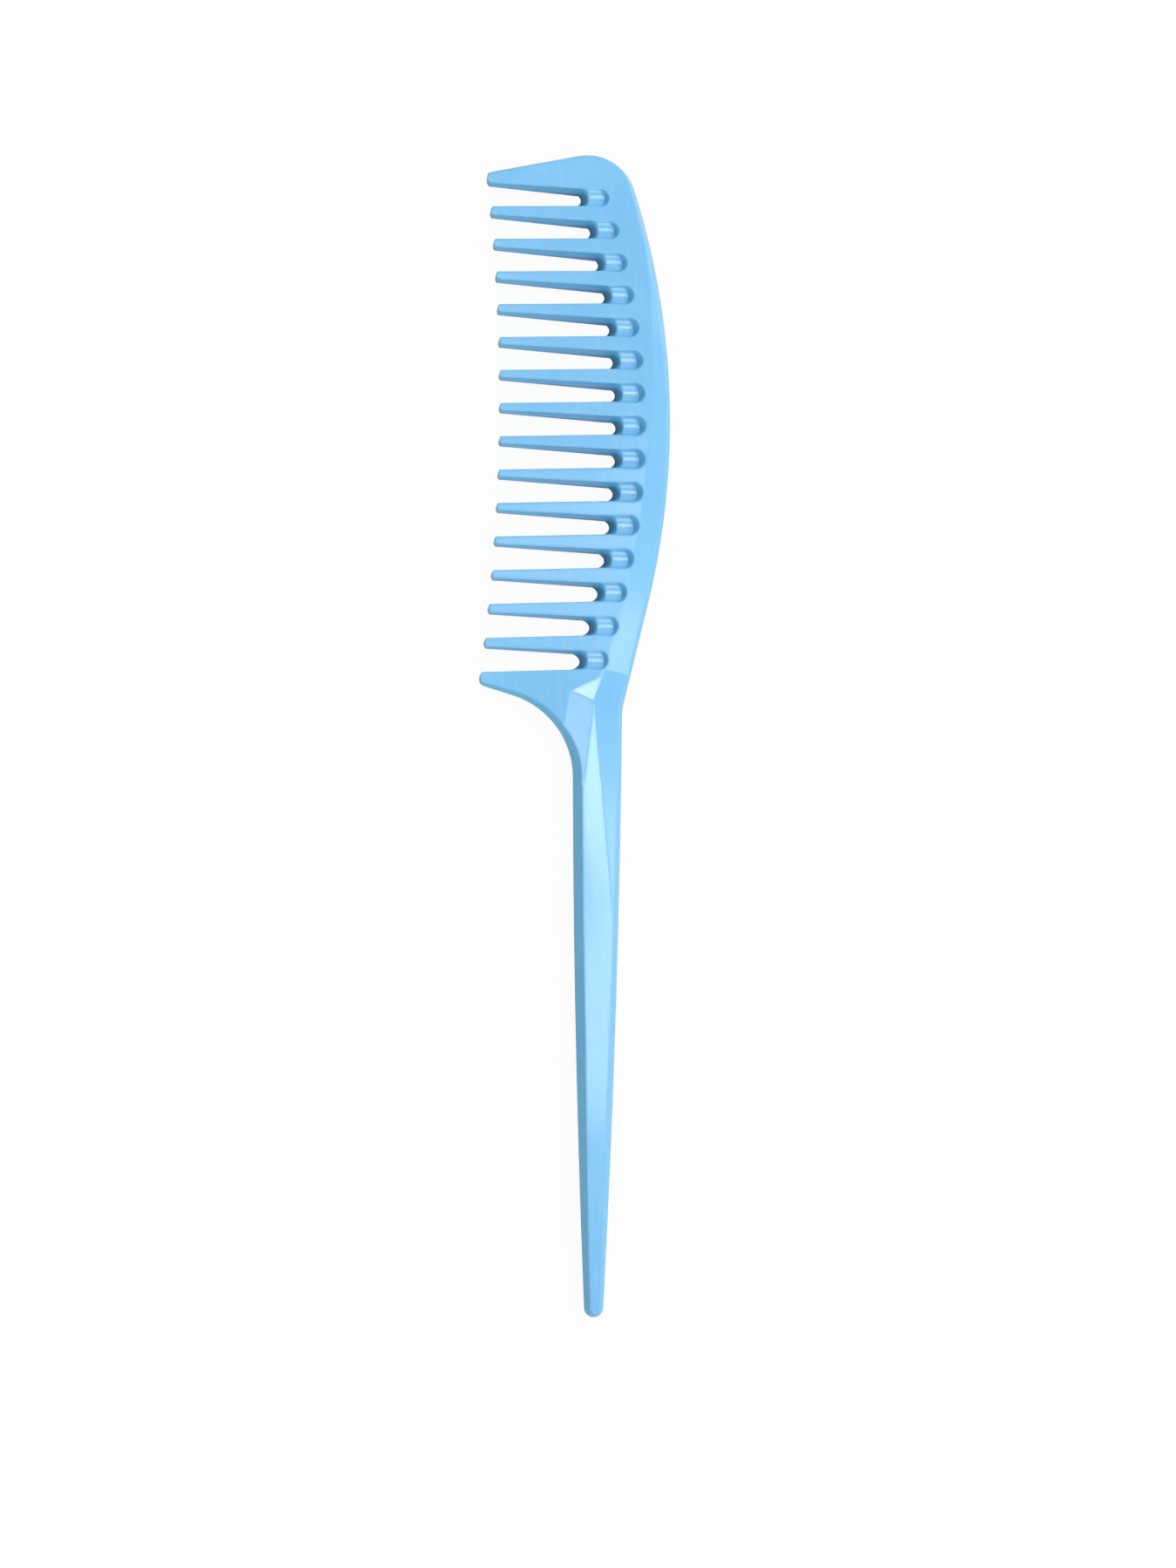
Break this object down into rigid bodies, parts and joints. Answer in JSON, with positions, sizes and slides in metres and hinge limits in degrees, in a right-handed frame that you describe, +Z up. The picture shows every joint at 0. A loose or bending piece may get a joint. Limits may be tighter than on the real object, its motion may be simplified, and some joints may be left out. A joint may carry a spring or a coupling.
{
  "type": "tail comb",
  "caption": "wide-tooth detangling tail comb, one-piece glossy light blue plastic, curved spine and long tapered tail",
  "frame": {"origin": "middle of the comb's bounding box in X and Y, on the table plane it rests on", "axes": "+Z is up through the thickness, +Y runs along the tail towards the head, the teeth point towards -X"},
  "size_m": [0.036, 0.22, 0.005],
  "materials": {
    "blue_plastic": "glossy injection-moulded light blue plastic with soft mould flow marks"
  },
  "bodies": {
    "root": {"spine": "blue_plastic", "tail_handle": "blue_plastic", "tooth_01": "blue_plastic", "tooth_02": "blue_plastic", "tooth_03": "blue_plastic", "tooth_04": "blue_plastic", "tooth_05": "blue_plastic", "tooth_06": "blue_plastic", "tooth_07": "blue_plastic", "tooth_08": "blue_plastic", "tooth_09": "blue_plastic", "tooth_10": "blue_plastic", "tooth_11": "blue_plastic", "tooth_12": "blue_plastic", "tooth_13": "blue_plastic", "tooth_14": "blue_plastic", "tooth_15": "blue_plastic", "tooth_16": "blue_plastic"}
  },
  "joints": []
}
